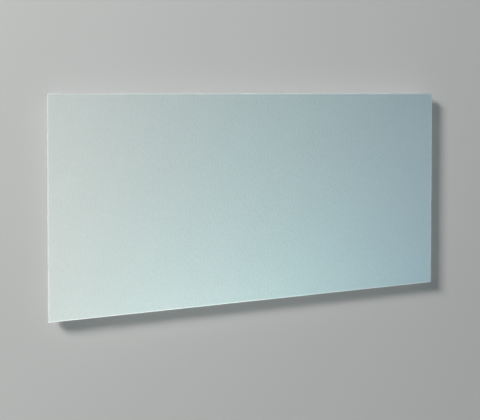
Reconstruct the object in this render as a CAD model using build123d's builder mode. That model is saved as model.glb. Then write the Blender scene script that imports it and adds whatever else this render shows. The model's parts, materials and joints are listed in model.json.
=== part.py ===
from build123d import *

import os
from itertools import product
from math import radians, tan

# A wall-hung infrared panel heater, in millimetres. The front is a steel tray, folded back on four
# sides. Carbon strips printed between two copper busbars lie against its inside, in front of a
# reflector foil and an insulation board. A beaded back cover closes it, and hooks onto a wall rail.
# The origin is on the wall, midway between the rail's outer fixing slots. +Z is up, +X is to the
# right as seen from the room, and the warm front faces -Y. Distances "from the wall" run along -Y.

# The whole heater
panel_width = 1200.0
panel_height = 600.0
body_depth = 22.0  # front face to the back of the cover
wall_gap = 26.0  # wall to the back of the cover
fixings_to_top = 120.0  # fixing slots up to the panel's top edge

# Front panel, a folded tray
front_gauge = 1.2
front_bend = 2.0  # outer radius of each fold
return_flange = 14.0  # inside width of the rim that is folded in at the back
mitre_gap = 0.8  # open line where two rims meet

# Heating layers, from the front panel's inner face backwards
mica_gauge = 0.5
element_gauge = 0.4
foil_gauge = 0.3
layer_margin = 3.0  # layers' edge to the return flange's edge
board_margin = 1.0  # insulation board's edge to the return flange's edge
busbar_width = 12.0
busbar_margin = 4.0  # busbar to the edge of the layers
strip_width = 20.0
strip_pitch = 26.0

# Back cover
cover_gauge = 0.8
cover_inset = 5.0  # cover's edge to the panel's outer edge
cover_corner = 6.0
bead_width = 18.0
bead_height = 2.0
bead_side_inset = 60.0  # bead's end to the panel's side
bead_pitch = 90.0
top_bead_drop = 60.0  # top bead below the panel's top edge
bead_slope = 45.0  # degrees

# Cover screws, thread-forming in the return flange
cover_screw_inset = 10.0  # screw line to the panel's outer edge
cover_screw_end = 40.0  # last screw of a long side to the corner
side_screw_end = 150.0  # last screw of a short side to the corner
long_side_screws = 5
short_side_screws = 2
screw_radius = 1.75
screw_head_radius = 3.5
screw_head_height = 2.2
screw_length = 5.0
head_slope = 12.0  # degrees, on the side of every screw head
screw_play = 0.25  # radial, in a clearance hole
thread_play = 0.05  # radial, where a thread or shank fills its hole

# Wall rail
rail_length = 700.0
rail_gauge = 2.0
rail_bend = 3.0  # outer radius
rail_above = 20.0  # fixing slots to the rail's top edge
rail_below = 22.0  # fixing slots to the rail's underside
rail_reach = 16.0  # wall to the lip's room side
lip_height = 18.0  # rail's underside to the lip's top
notch_depth = 2.0  # seats for the hangers, cut in the lip
notch_play = 1.0  # each side of a hanger
outer_fixing_span = 600.0
inner_fixing_span = 200.0
fixing_slot_length = 14.0
fixing_slot_width = 7.0
rail_corner = 1.5

# Hanger brackets, which hook over the rail's lip
hanger_spread = 250.0  # heater's middle to each hanger's middle
hanger_width = 90.0
hanger_gauge = 2.0
hanger_bend = 3.0  # outer radius
hanger_plate = 46.0  # plate below the hook's seat
hook_drop = 12.0  # hook behind the lip, below its seat
hook_slack = 1.3  # hook to the lip
hanger_corner = 5.0
hook_corner = 3.0
hanger_rivet_side = 12.0  # upper rivets to the bracket's side
hanger_rivet_foot = 9.0  # lower rivet to the plate's lower edge
hanger_rivet_rise = 24.0  # lower to upper rivets

# Lower stand-offs, hat sections with a rubber buffer each
standoff_spread = 480.0
standoff_rise = 60.0  # panel's bottom edge to the stand-off's middle
standoff_width = 40.0
standoff_gauge = 1.5
standoff_bend = 3.0
hat_half_top = 16.0
hat_half_base = 22.0
hat_flange = 20.0
standoff_rivet_edge = 8.0  # rivet to the flange's free edge
standoff_corner = 3.0

# Wall buffers
buffer_radius = 10.0
buffer_head = 4.0
buffer_edge = 1.2
buffer_stem_radius = 4.0
buffer_barb_radius = 5.2
buffer_barb_length = 5.0
buffer_barb_taper = 18.0  # degrees
buffer_stem_play = 0.2

# Blind rivets
rivet_radius = 2.0
rivet_head_radius = 4.0
rivet_head_height = 1.3
rivet_slope = 40.0  # degrees, on the side of the head
rivet_tail_radius = 3.0
rivet_tail_length = 3.2
rivet_relief = 4.0  # board cleared this far round the riveted plates

# Insulated single cores, in channels in the insulation board
lead_radius = 1.2
lead_sides = 8
channel_width = 8.0
channel_depth = 5.6
lead_bend = 15.0  # in the channels
offset_bend = 4.4  # where a lead passes the cover
tag_bend = 5.0  # where a lead turns in to a busbar

# Thermal cut-outs, at mid height
cutout_spread = 260.0
cutout_cap_radius = 8.5
cutout_cap_height = 5.0
cutout_body_radius = 7.5
cutout_body_height = 6.0
tab_spread = 4.5  # cut-out's middle to each tab
tab_gauge = 0.8
tab_width = 6.3
tab_reach = 11.0
tab_bend = 1.6
socket_start = 3.2  # tab's root to the push-on receptacle
socket_length = 9.0
socket_width = 8.0
socket_depth = 2.8
socket_play = 0.1
barrel_radius = 1.9
barrel_length = 7.0
pocket_play = 1.0

# Crimp tags on the busbars
tag_size = 10.0
tag_gauge = 0.5
tag_post = 7.0
tag_window_play = 0.2
foil_window_play = 4.0
tag_pocket_play = 7.0
element_tag_spread = 420.0  # upper tag, left of the middle
neutral_tag_spread = 430.0  # lower tag, right of the middle

# Junction box
box_spread = 340.0  # right of the middle
box_rise = 100.0  # panel's bottom edge to the box's middle
box_width = 110.0
box_height = 64.0
box_depth = 19.0
box_wall = 2.5
box_floor = 2.0
box_corner = 6.0
boss_radius = 3.5
boss_bite = 1.0  # boss sunk into the corner's walls
gasket_height = 1.0
gasket_play = 0.3
lid_height = 2.5
lid_edge = 1.2
lid_panel_inset = 9.0
lid_panel_depth = 0.5
lid_screw_radius = 1.5
lid_screw_head = 3.0
lid_screw_head_height = 1.3
lid_screw_length = 10.0
lid_sink_radius = 3.3
lid_sink_depth = 1.4
pilot_spare = 0.6  # depth left below a screw's tip
box_screw_spread = 36.0  # box's middle to each screw that holds it
box_screw_drop = 10.0
box_screw_length = 6.0
recess_inset = 4.0  # the board's recess behind the box, inside its outline

# Terminal block in the junction box
pole_pitch = 10.0
block_width = 34.0
block_height = 18.0
block_depth = 12.0
block_drop = 6.0  # below the box's middle
block_edge = 0.8
sleeve_side = 5.6  # of its square section
sleeve_length = 16.0
sleeve_bore = 1.5
sleeve_play = 0.05
sleeve_rise = 3.5  # box's floor to the sleeves' centre line
clamp_screw_radius = 1.75
clamp_screw_rise = 3.0  # grub screw's slotted end above the sleeve
clamp_spread = 4.0  # block's middle to each clamp screw
clamp_well_radius = 2.3
lead_insertion = 7.0  # lead's end inside the block
block_screw_radius = 1.2
block_screw_head = 2.1
block_screw_head_height = 1.6
block_sink_depth = 1.8
block_pilot_depth = 1.6

# Grommet where the leads pass the cover
grommet_rise = 21.0  # above the box's middle
grommet_bore_length = 16.0
grommet_bore_width = 5.4
grommet_neck = 1.5  # wall of the neck
grommet_lip = 1.5  # lip beyond the neck
grommet_lip_height = 1.0
grommet_play = 0.05
grommet_relief = 1.0  # room in the board round the lip

# Earth stud in the junction box
earth_left = 34.0
earth_rise = 12.0
earth_stud_radius = 2.0
earth_stud_head = 3.5
earth_stud_head_height = 0.8
earth_stud_length = 11.8  # cover's inner face to the stud's tip
earth_nut_flats = 7.0
earth_nut_height = 3.2
earth_window_radius = 6.0
ring_radius = 4.0
ring_gauge = 0.8
ring_barrel_start = 6.0
star_radius = 3.9
star_gauge = 0.6
star_teeth = 8
star_notch_width = 1.2
star_notch_depth = 0.8
earth_bend = 6.0

# Cable gland in the junction box's lower wall
gland_flats = 15.0
gland_radius = 6.0
gland_inside = 10.0  # thread inside the box, from the wall's outer face
gland_hex_height = 5.0
gland_tube_length = 8.0
gland_tube_bore = 4.3
gland_through_bore = 4.0
gland_hole_play = 0.15
locknut_height = 4.0
seal_bore = 3.3
seal_nose = 1.0  # lip of the seal in the body's bore
nut_gap = 0.6  # nut to the gland's hexagon
nut_hex_height = 6.4
nut_height = 10.4
nut_round_radius = 7.2
nut_mouth_radius = 3.6
nut_mouth_slope = 15.0  # flare, so that a bent cord isn't chafed
nut_edge = 1.8

# Places that follow from the sizes above
panel_top = fixings_to_top
panel_bottom = panel_top - panel_height
panel_mid = (panel_top + panel_bottom) / 2
front_face = wall_gap + body_depth
cover_inner = wall_gap + cover_gauge
front_inner = front_face - front_gauge
element_front = front_inner - mica_gauge
element_back = element_front - element_gauge
foil_front = element_back - mica_gauge
board_front = foil_front - foil_gauge
opening_width = panel_width - 2 * (front_gauge + return_flange)
opening_height = panel_height - 2 * (front_gauge + return_flange)
layer_width = opening_width - 2 * layer_margin
layer_height = opening_height - 2 * layer_margin
busbar_rise = layer_height / 2 - busbar_margin - busbar_width / 2
hook_seat = lip_height - rail_below - notch_depth
hook_back = rail_reach - rail_gauge - hook_slack - hanger_gauge
standoff_mid = panel_bottom + standoff_rise
lead_distance = cover_inner + channel_depth / 2
lead_bore = lead_radius + thread_play
upper_tag = (-element_tag_spread, panel_mid + busbar_rise)
lower_tag = (neutral_tag_spread, panel_mid - busbar_rise)
cutout_seat = board_front - cutout_cap_height
tab_root = cutout_seat - cutout_body_height
socket_reach = tab_spread + socket_start + socket_length

box_middle = (box_spread, panel_bottom + box_rise)
box_floor_face = wall_gap - box_floor
box_rim = wall_gap - box_depth
lid_inner = box_rim - gasket_height
lid_outer = lid_inner - lid_height
box_bottom = box_middle[1] - box_height / 2
block_middle = (box_middle[0], box_middle[1] - block_drop)
block_top = block_middle[1] + block_height / 2
block_face = box_floor_face - block_depth
sleeve_distance = box_floor_face - sleeve_rise
grommet_middle = (box_middle[0] + pole_pitch / 2, box_middle[1] + grommet_rise)
grommet_neck_length = grommet_bore_length + 2 * grommet_neck
grommet_neck_width = grommet_bore_width + 2 * grommet_neck
earth_middle = (box_middle[0] - earth_left, box_middle[1] + earth_rise)
ring_back = wall_gap - earth_nut_height - ring_gauge
star_back = ring_back - star_gauge
gland_distance = (box_floor_face + lid_inner) / 2


def from_wall(distance):
    # a plane parallel to the wall, that faces the room
    return Plane.XZ.offset(distance)


def spaced(low, high, count):
    step = (high - low) / (count - 1)
    return [low + step * index for index in range(count)]


def save(piece, name):
    piece.label = name
    export_step(piece, f"parts/{name}.step")


def pan_screws(points, seat, radius, head_radius, head_height, length):
    # screws square to the wall, with their heads on the wall side of the seat
    with BuildPart() as screws:
        with BuildSketch(from_wall(seat)):
            with Locations(*points):
                Circle(head_radius)
        extrude(amount=-head_height, taper=head_slope)
        with BuildSketch(from_wall(seat)):
            with Locations(*points):
                Circle(radius)
        extrude(amount=length)
    return screws.part


def insulated_lead(points, bends):
    with BuildPart() as lead:
        with BuildLine() as route:
            if len(points) > 2:
                FilletPolyline(*points, radius=bends)
            else:
                Line(*points)
        with BuildSketch(Plane(origin=route.line @ 0, z_dir=route.line % 0)):
            RegularPolygon(lead_radius, lead_sides)
        sweep()
    return lead.part


os.makedirs("parts", exist_ok=True)

# Front panel: a tray with tight folds on every edge, and a mitred return flange with screw holes
long_screws = spaced(-panel_width / 2 + cover_screw_end, panel_width / 2 - cover_screw_end, long_side_screws)
short_screws = spaced(panel_bottom + side_screw_end, panel_top - side_screw_end, short_side_screws)
long_edges = (panel_bottom + cover_screw_inset, panel_top - cover_screw_inset)
short_edges = (-panel_width / 2 + cover_screw_inset, panel_width / 2 - cover_screw_inset)
cover_screw_points = [*product(long_screws, long_edges), *product(short_edges, short_screws)]
mitre_reach = return_flange - front_bend  # opening's corner to the mitre's outer end, across and up
mitre_middle = (mitre_reach + mitre_gap) / 2  # the mitre starts clear inside the opening

with BuildPart() as front_panel:
    with BuildSketch(from_wall(cover_inner)):
        with Locations((0, panel_mid)):
            Rectangle(panel_width, panel_height)
    extrude(amount=front_face - cover_inner)
    fillet(front_panel.edges().filter_by(Axis.Y, reverse=True), radius=front_bend)
    offset(amount=-front_gauge, mode=Mode.SUBTRACT)
    with BuildSketch(from_wall(cover_inner)):
        with Locations((0, panel_mid)):
            Rectangle(opening_width, opening_height)
        for across, up in product((-1, 1), repeat=2):
            mitre_x = across * (opening_width / 2 + mitre_reach - mitre_middle)
            mitre_z = panel_mid + up * (opening_height / 2 + mitre_reach - mitre_middle)
            with Locations((mitre_x, mitre_z)):
                Rectangle(2 * mitre_middle * 2**0.5, mitre_gap, rotation=45 * across * up)
        with Locations(*cover_screw_points):
            Circle(screw_radius + thread_play)
    extrude(amount=front_gauge, mode=Mode.SUBTRACT)
save(front_panel.part, "front_panel")

# Mica sheet between the steel and the live strips
with BuildPart() as front_insulator:
    with BuildSketch(from_wall(element_front)):
        with Locations((0, panel_mid)):
            Rectangle(layer_width, layer_height)
    extrude(amount=mica_gauge)
save(front_insulator.part, "front_insulator")

# Carbon strips, side by side between the busbars
strip_length = 2 * busbar_rise - busbar_width
strip_count = int((layer_width - 2 * busbar_margin) / strip_pitch)
with BuildPart() as heating_element:
    with BuildSketch(from_wall(element_back)):
        with Locations((0, panel_mid)):
            with GridLocations(strip_pitch, strip_length, strip_count, 1):
                Rectangle(strip_width, strip_length)
    extrude(amount=element_gauge)
save(heating_element.part, "heating_element")

# Copper busbars along the strips' ends
for name, rise in (("busbar_upper", busbar_rise), ("busbar_lower", -busbar_rise)):
    with BuildPart() as busbar:
        with BuildSketch(from_wall(element_back)):
            with Locations((0, panel_mid + rise)):
                Rectangle(layer_width - 2 * busbar_margin, busbar_width)
        extrude(amount=element_gauge)
    save(busbar.part, name)

# Mica sheet and reflector foil behind the strips, with windows for the busbar tags
with BuildPart() as rear_insulator:
    with BuildSketch(from_wall(foil_front)):
        with Locations((0, panel_mid)):
            Rectangle(layer_width, layer_height)
        with Locations(upper_tag, lower_tag):
            window = tag_size + 2 * tag_window_play
            Rectangle(window, window, mode=Mode.SUBTRACT)
    extrude(amount=mica_gauge)
save(rear_insulator.part, "rear_insulator")

with BuildPart() as heat_reflector:
    with BuildSketch(from_wall(board_front)):
        with Locations((0, panel_mid)):
            Rectangle(layer_width, layer_height)
        with Locations(upper_tag, lower_tag):
            window = tag_size + 2 * foil_window_play
            Rectangle(window, window, mode=Mode.SUBTRACT)
    extrude(amount=foil_gauge)
save(heat_reflector.part, "heat_reflector")

# Leads. Each has its stretch in a channel, as points across and up the panel.
live_x = box_middle[0]
neutral_x = live_x + pole_pitch
lead_end = socket_reach + thread_play
live_run = [
    (live_x, grommet_middle[1]),
    (live_x, panel_mid),
    (cutout_spread + lead_end, panel_mid),
]
link_run = [
    (cutout_spread - lead_end, panel_mid),
    (-cutout_spread + lead_end, panel_mid),
]
element_run = [
    (-cutout_spread - lead_end, panel_mid),
    (upper_tag[0], panel_mid),
    upper_tag,
]
neutral_run = [
    (neutral_x, grommet_middle[1]),
    (lower_tag[0], grommet_middle[1]),
    lower_tag,
]
box_entry = block_top - lead_insertion
tag_depth = element_back - tag_gauge - thread_play


def in_channel(run):
    return [(x, -lead_distance, z) for x, z in run]


def through_grommet(x):
    return [(x, -sleeve_distance, box_entry), (x, -sleeve_distance, grommet_middle[1])]


save(
    insulated_lead(through_grommet(live_x) + in_channel(live_run), [offset_bend, offset_bend, lead_bend]),
    "live_lead",
)
save(insulated_lead(in_channel(link_run), []), "cutout_link_lead")
save(
    insulated_lead(
        in_channel(element_run) + [(upper_tag[0], -tag_depth, upper_tag[1])],
        [lead_bend, tag_bend],
    ),
    "element_lead",
)
save(
    insulated_lead(
        through_grommet(neutral_x) + in_channel(neutral_run) + [(lower_tag[0], -tag_depth, lower_tag[1])],
        [offset_bend, offset_bend, lead_bend, tag_bend],
    ),
    "neutral_lead",
)
save(
    insulated_lead(
        [
            (box_middle[0] - pole_pitch, -sleeve_distance, box_entry),
            (box_middle[0] - pole_pitch, -sleeve_distance, earth_middle[1]),
            (earth_middle[0] + ring_barrel_start + thread_play, -sleeve_distance, earth_middle[1]),
        ],
        [earth_bend],
    ),
    "earth_lead",
)

# Insulation board: channels for the leads, pockets for cut-outs and tags, and recesses behind rivets
hanger_points = [(-hanger_spread, hook_seat), (hanger_spread, hook_seat)]
standoff_points = [(-standoff_spread, standoff_mid), (standoff_spread, standoff_mid)]
cutout_points = [(-cutout_spread, panel_mid), (cutout_spread, panel_mid)]
with BuildPart() as insulation_board:
    with BuildSketch(from_wall(cover_inner)):
        with Locations((0, panel_mid)):
            Rectangle(opening_width - 2 * board_margin, opening_height - 2 * board_margin)
    extrude(amount=board_front - cover_inner)
    with BuildSketch(from_wall(cover_inner)):
        with Locations(*[(x, z - hanger_plate / 2) for x, z in hanger_points]):
            Rectangle(hanger_width, hanger_plate)
        with Locations(*standoff_points):
            Rectangle(standoff_width + rivet_relief, 2 * (hat_half_base + hat_flange) + rivet_relief)
        with Locations(box_middle):
            Rectangle(box_width - 2 * recess_inset, box_height - 2 * recess_inset)
        with Locations(grommet_middle):
            SlotOverall(
                grommet_neck_length + 2 * (grommet_lip + grommet_relief),
                grommet_neck_width + 2 * (grommet_lip + grommet_relief),
            )
    extrude(amount=channel_depth, mode=Mode.SUBTRACT)
    for run in (live_run, link_run, element_run, neutral_run):
        with BuildSketch(from_wall(cover_inner)):
            with BuildLine():
                if len(run) > 2:
                    FilletPolyline(*run, radius=lead_bend)
                else:
                    Line(*run)
            trace(line_width=channel_width)
        extrude(amount=channel_depth, mode=Mode.SUBTRACT)
    with BuildSketch(from_wall(cover_inner)):
        with Locations(*cutout_points):
            Rectangle(2 * (socket_reach + pocket_play), 2 * (cutout_cap_radius + pocket_play))
        with Locations(upper_tag, lower_tag):
            Rectangle(tag_size + tag_pocket_play, tag_size + tag_pocket_play)
    extrude(amount=board_front - cover_inner, mode=Mode.SUBTRACT)
save(insulation_board.part, "insulation_board")

# Thermal cut-outs, with their bent tabs and the push-on receptacles of the leads
for name, point in zip(("thermal_cutout_left", "thermal_cutout_right"), cutout_points):
    with BuildPart() as thermal_cutout:
        with BuildSketch(from_wall(board_front)):
            with Locations(point):
                Circle(cutout_cap_radius)
        extrude(amount=-cutout_cap_height)
        with BuildSketch(from_wall(cutout_seat)):
            with Locations(point):
                Circle(cutout_body_radius)
        extrude(amount=-cutout_body_height)
    save(thermal_cutout.part, name)

with BuildPart() as cutout_tabs:
    for (x, z), side in product(cutout_points, (-1, 1)):
        root = x + side * tab_spread
        blade = -(lead_distance - tab_gauge / 2)
        with BuildSketch(Plane.XY.offset(z)):
            with BuildLine():
                FilletPolyline((root, -tab_root), (root, blade), (root + side * tab_reach, blade), radius=tab_bend)
                offset(amount=tab_gauge, side=Side.RIGHT if side > 0 else Side.LEFT)
            make_face()
        extrude(amount=tab_width / 2, both=True)
save(cutout_tabs.part, "cutout_tabs")

with BuildPart() as tab_receptacles:
    for (x, z), side in product(cutout_points, (-1, 1)):
        start = x + side * (tab_spread + socket_start)
        slot_length = tab_reach - socket_start + socket_play
        with BuildSketch(from_wall(lead_distance)):
            with Locations((start + side * socket_length / 2, z)):
                Rectangle(socket_length, socket_width)
        extrude(amount=socket_depth / 2, both=True)
        with BuildSketch(from_wall(lead_distance)):
            with Locations((start + side * slot_length / 2, z)):
                Rectangle(slot_length, tab_width + 2 * socket_play)
        extrude(amount=tab_gauge / 2 + socket_play, both=True, mode=Mode.SUBTRACT)
        barrel_plane = Plane(
            origin=(x + side * socket_reach, -lead_distance, z), x_dir=(0, 0, 1), z_dir=(side, 0, 0)
        )
        with BuildSketch(barrel_plane):
            Circle(barrel_radius)
            Circle(lead_bore, mode=Mode.SUBTRACT)
        extrude(amount=barrel_length)
save(tab_receptacles.part, "tab_receptacles")

# Crimp tags: a foot on the busbar, and a post that takes the lead's end
with BuildPart() as busbar_tags:
    with BuildSketch(from_wall(element_back)):
        with Locations(upper_tag, lower_tag):
            Rectangle(tag_size, tag_size)
    extrude(amount=-tag_gauge)
    with BuildSketch(from_wall(element_back - tag_gauge)):
        with Locations(upper_tag, lower_tag):
            Circle(barrel_radius)
            Circle(lead_bore, mode=Mode.SUBTRACT)
    extrude(amount=-tag_post)
save(busbar_tags.part, "busbar_tags")

# Back cover: a sheet with beads pressed towards the wall, and its holes
hanger_rivet_points = [
    (x + across * (hanger_width / 2 - hanger_rivet_side), z - hanger_plate + hanger_rivet_foot + rise)
    for x, z in hanger_points
    for across, rise in ((-1, hanger_rivet_rise), (0, 0), (1, hanger_rivet_rise))
]
standoff_rivet_rise = hat_half_base + hat_flange - standoff_rivet_edge
standoff_rivet_points = [(x, z + up * standoff_rivet_rise) for x, z in standoff_points for up in (-1, 1)]
box_screw_points = [
    (box_middle[0] + across * box_screw_spread, box_middle[1] - box_screw_drop) for across in (-1, 1)
]
bead_rows = [panel_mid - bead_pitch, panel_mid, panel_mid + bead_pitch, panel_top - top_bead_drop]
bead_length = panel_width - 2 * bead_side_inset
bead_narrowing = 2 * cover_gauge * tan(radians(90 - bead_slope) / 2)  # keeps the slopes one gauge thick

with BuildPart() as back_cover:
    with BuildSketch(from_wall(wall_gap)):
        with Locations((0, panel_mid)):
            RectangleRounded(panel_width - 2 * cover_inset, panel_height - 2 * cover_inset, cover_corner)
    extrude(amount=cover_gauge)
    with BuildSketch(from_wall(wall_gap)):
        with Locations(*[(0, row) for row in bead_rows]):
            SlotOverall(bead_length, bead_width)
    extrude(amount=-bead_height, taper=bead_slope)
    with BuildSketch(from_wall(cover_inner)):
        with Locations(*[(0, row) for row in bead_rows]):
            SlotOverall(bead_length - bead_narrowing, bead_width - bead_narrowing)
    extrude(amount=-bead_height, taper=bead_slope, mode=Mode.SUBTRACT)
    with BuildSketch(from_wall(wall_gap)):
        with Locations(*cover_screw_points):
            Circle(screw_radius + screw_play)
        with Locations(*box_screw_points):
            Circle(screw_radius + thread_play)
        with Locations(*hanger_rivet_points, *standoff_rivet_points):
            Circle(rivet_radius + thread_play)
        with Locations(earth_middle):
            Circle(earth_stud_radius + thread_play)
        with Locations(grommet_middle):
            SlotOverall(grommet_neck_length + 2 * grommet_play, grommet_neck_width + 2 * grommet_play)
    extrude(amount=cover_gauge, mode=Mode.SUBTRACT)
save(back_cover.part, "back_cover")

cover_screws = pan_screws(
    cover_screw_points, wall_gap, screw_radius, screw_head_radius, screw_head_height, screw_length
)
save(cover_screws, "cover_screws")

# Wall rail: a folded channel whose lip carries the hangers in two notches
with BuildPart() as wall_rail:
    with BuildSketch(Plane.YZ):
        with BuildLine():
            FilletPolyline(
                (0, rail_above),
                (0, -rail_below),
                (-rail_reach, -rail_below),
                (-rail_reach, lip_height - rail_below),
                radius=rail_bend,
            )
            offset(amount=rail_gauge, side=Side.RIGHT)
        make_face()
    extrude(amount=rail_length / 2, both=True)
    for end in (0, -1):
        end_corners = wall_rail.edges().filter_by(Axis.Y).group_by(Axis.X)[end].group_by(SortBy.LENGTH)[0]
        chamfer(end_corners, length=rail_corner)
    with BuildSketch(from_wall(rail_reach)):
        with Locations(*hanger_points):
            Rectangle(hanger_width + 2 * notch_play, 2 * notch_depth, align=(Align.CENTER, Align.MIN))
    extrude(amount=-rail_gauge, mode=Mode.SUBTRACT)
    with BuildSketch(from_wall(rail_gauge)):
        with Locations(*[(side * span / 2, 0) for side in (-1, 1) for span in (outer_fixing_span, inner_fixing_span)]):
            SlotOverall(fixing_slot_length, fixing_slot_width)
    extrude(amount=-rail_gauge, mode=Mode.SUBTRACT)
save(wall_rail.part, "wall_rail")

# Hanger brackets: a riveted plate, a web that rests on the lip, and a hook that drops behind it
for name, (x, z) in zip(("hanger_bracket_left", "hanger_bracket_right"), hanger_points):
    with BuildPart() as hanger_bracket:
        with BuildSketch(Plane.YZ.offset(x)):
            with BuildLine():
                FilletPolyline(
                    (-wall_gap, z - hanger_plate),
                    (-wall_gap, z + hanger_gauge),
                    (-hook_back, z + hanger_gauge),
                    (-hook_back, z - hook_drop),
                    radius=hanger_bend,
                )
                offset(amount=hanger_gauge, side=Side.RIGHT)
            make_face()
        extrude(amount=hanger_width / 2, both=True)
        plate_corners = hanger_bracket.edges().filter_by(Axis.Y).group_by(Axis.Z)[0]
        chamfer(plate_corners, length=hanger_corner)
        hook_corners = hanger_bracket.edges().filter_by(Axis.Y).group_by(Axis.Y)[-1]
        chamfer(hook_corners, length=hook_corner)
        with BuildSketch(from_wall(wall_gap)):
            with Locations(*hanger_rivet_points):
                Circle(rivet_radius + thread_play)
        extrude(amount=-hanger_gauge, mode=Mode.SUBTRACT)
    save(hanger_bracket.part, name)

# Lower stand-offs: hat sections that keep the panel's foot off the wall
hat_back = buffer_head + standoff_gauge
for name, (x, z) in zip(("lower_standoff_left", "lower_standoff_right"), standoff_points):
    with BuildPart() as lower_standoff:
        with BuildSketch(Plane.YZ.offset(x)):
            with BuildLine():
                FilletPolyline(
                    (-wall_gap, z - hat_half_base - hat_flange),
                    (-wall_gap, z - hat_half_base),
                    (-hat_back, z - hat_half_top),
                    (-hat_back, z + hat_half_top),
                    (-wall_gap, z + hat_half_base),
                    (-wall_gap, z + hat_half_base + hat_flange),
                    radius=standoff_bend,
                )
                offset(amount=standoff_gauge, side=Side.RIGHT)
            make_face()
        extrude(amount=standoff_width / 2, both=True)
        for end in (0, -1):
            chamfer(lower_standoff.edges().filter_by(Axis.Y).group_by(Axis.Z)[end], length=standoff_corner)
        with BuildSketch(from_wall(hat_back)):
            with Locations((x, z)):
                Circle(buffer_stem_radius + buffer_stem_play)
        extrude(amount=-standoff_gauge, mode=Mode.SUBTRACT)
        with BuildSketch(from_wall(wall_gap)):
            with Locations(*standoff_rivet_points):
                Circle(rivet_radius + thread_play)
        extrude(amount=-standoff_gauge, mode=Mode.SUBTRACT)
    save(lower_standoff.part, name)

# Rubber buffers, pulled into the stand-offs by their barbed stems
for name, point in zip(("wall_buffer_left", "wall_buffer_right"), standoff_points):
    with BuildPart() as wall_buffer:
        with BuildSketch(from_wall(buffer_head)):
            with Locations(point):
                Circle(buffer_radius)
        extrude(amount=-buffer_head)
        chamfer(wall_buffer.edges().group_by(Axis.Y)[-1], length=buffer_edge)
        with BuildSketch(from_wall(buffer_head)):
            with Locations(point):
                Circle(buffer_stem_radius)
        extrude(amount=standoff_gauge)
        with BuildSketch(from_wall(hat_back)):
            with Locations(point):
                Circle(buffer_barb_radius)
        extrude(amount=buffer_barb_length, taper=buffer_barb_taper)
    save(wall_buffer.part, name)

# Blind rivets: a domed head on the bracket, and a set tail behind the cover
with BuildPart() as blind_rivets:
    for points, seat in (
        (hanger_rivet_points, wall_gap - hanger_gauge),
        (standoff_rivet_points, wall_gap - standoff_gauge),
    ):
        with BuildSketch(from_wall(seat)):
            with Locations(*points):
                Circle(rivet_head_radius)
        extrude(amount=-rivet_head_height, taper=rivet_slope)
        with BuildSketch(from_wall(seat)):
            with Locations(*points):
                Circle(rivet_radius)
        extrude(amount=cover_inner - seat)
        with BuildSketch(from_wall(cover_inner)):
            with Locations(*points):
                Circle(rivet_tail_radius)
        extrude(amount=rivet_tail_length)
save(blind_rivets.part, "blind_rivets")

# Junction box base: floor, walls, corner bosses, and the openings for leads, stud and gland
inner_width = box_width - 2 * box_wall
inner_height = box_height - 2 * box_wall
boss_points = [
    (
        box_middle[0] + across * (inner_width / 2 - boss_radius + boss_bite),
        box_middle[1] + up * (inner_height / 2 - boss_radius + boss_bite),
    )
    for across, up in product((-1, 1), repeat=2)
]
block_screw_points = [(block_middle[0] + across * pole_pitch / 2, block_middle[1]) for across in (-1, 1)]
lid_screw_seat = lid_outer + lid_sink_depth
pilot_end = lid_screw_seat + lid_screw_length + pilot_spare
gland_plane = Plane.XY.offset(box_bottom)
gland_point = (box_middle[0], -gland_distance)
nut_floor_depth = gland_tube_length - nut_gap + thread_play

with BuildPart() as junction_box_base:
    with BuildSketch(from_wall(wall_gap)):
        with Locations(box_middle):
            RectangleRounded(box_width, box_height, box_corner)
    extrude(amount=-box_depth)
    with BuildSketch(from_wall(box_floor_face)):
        with Locations(box_middle):
            RectangleRounded(inner_width, inner_height, box_corner - box_wall)
    extrude(amount=box_rim - box_floor_face, mode=Mode.SUBTRACT)
    with BuildSketch(from_wall(box_floor_face)):
        with Locations(*boss_points):
            Circle(boss_radius)
    extrude(amount=lid_inner - box_floor_face)
    with BuildSketch(from_wall(lid_inner)):
        with Locations(*boss_points):
            Circle(lid_screw_radius + thread_play)
    extrude(amount=pilot_end - lid_inner, mode=Mode.SUBTRACT)
    with BuildSketch(from_wall(box_floor_face)):
        with Locations(*block_screw_points):
            Circle(block_screw_radius + thread_play)
    extrude(amount=block_pilot_depth, mode=Mode.SUBTRACT)
    with BuildSketch(from_wall(box_floor_face)):
        with Locations(*box_screw_points):
            Circle(screw_radius + screw_play)
        with Locations(earth_middle):
            Circle(earth_window_radius)
        with Locations(grommet_middle):
            SlotOverall(grommet_neck_length + 2 * grommet_play, grommet_neck_width + 2 * grommet_play)
    extrude(amount=box_floor, mode=Mode.SUBTRACT)
    with BuildSketch(gland_plane):
        with Locations(gland_point):
            Circle(gland_radius + gland_hole_play)
    extrude(amount=box_wall, mode=Mode.SUBTRACT)
save(junction_box_base.part, "junction_box_base")

with BuildPart() as junction_box_gasket:
    with BuildSketch(from_wall(box_rim)):
        with Locations(box_middle):
            RectangleRounded(box_width, box_height, box_corner)
            RectangleRounded(inner_width, inner_height, box_corner - box_wall, mode=Mode.SUBTRACT)
        with Locations(*boss_points):
            Circle(boss_radius + gasket_play, mode=Mode.SUBTRACT)
    extrude(amount=-gasket_height)
save(junction_box_gasket.part, "junction_box_gasket")

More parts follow.
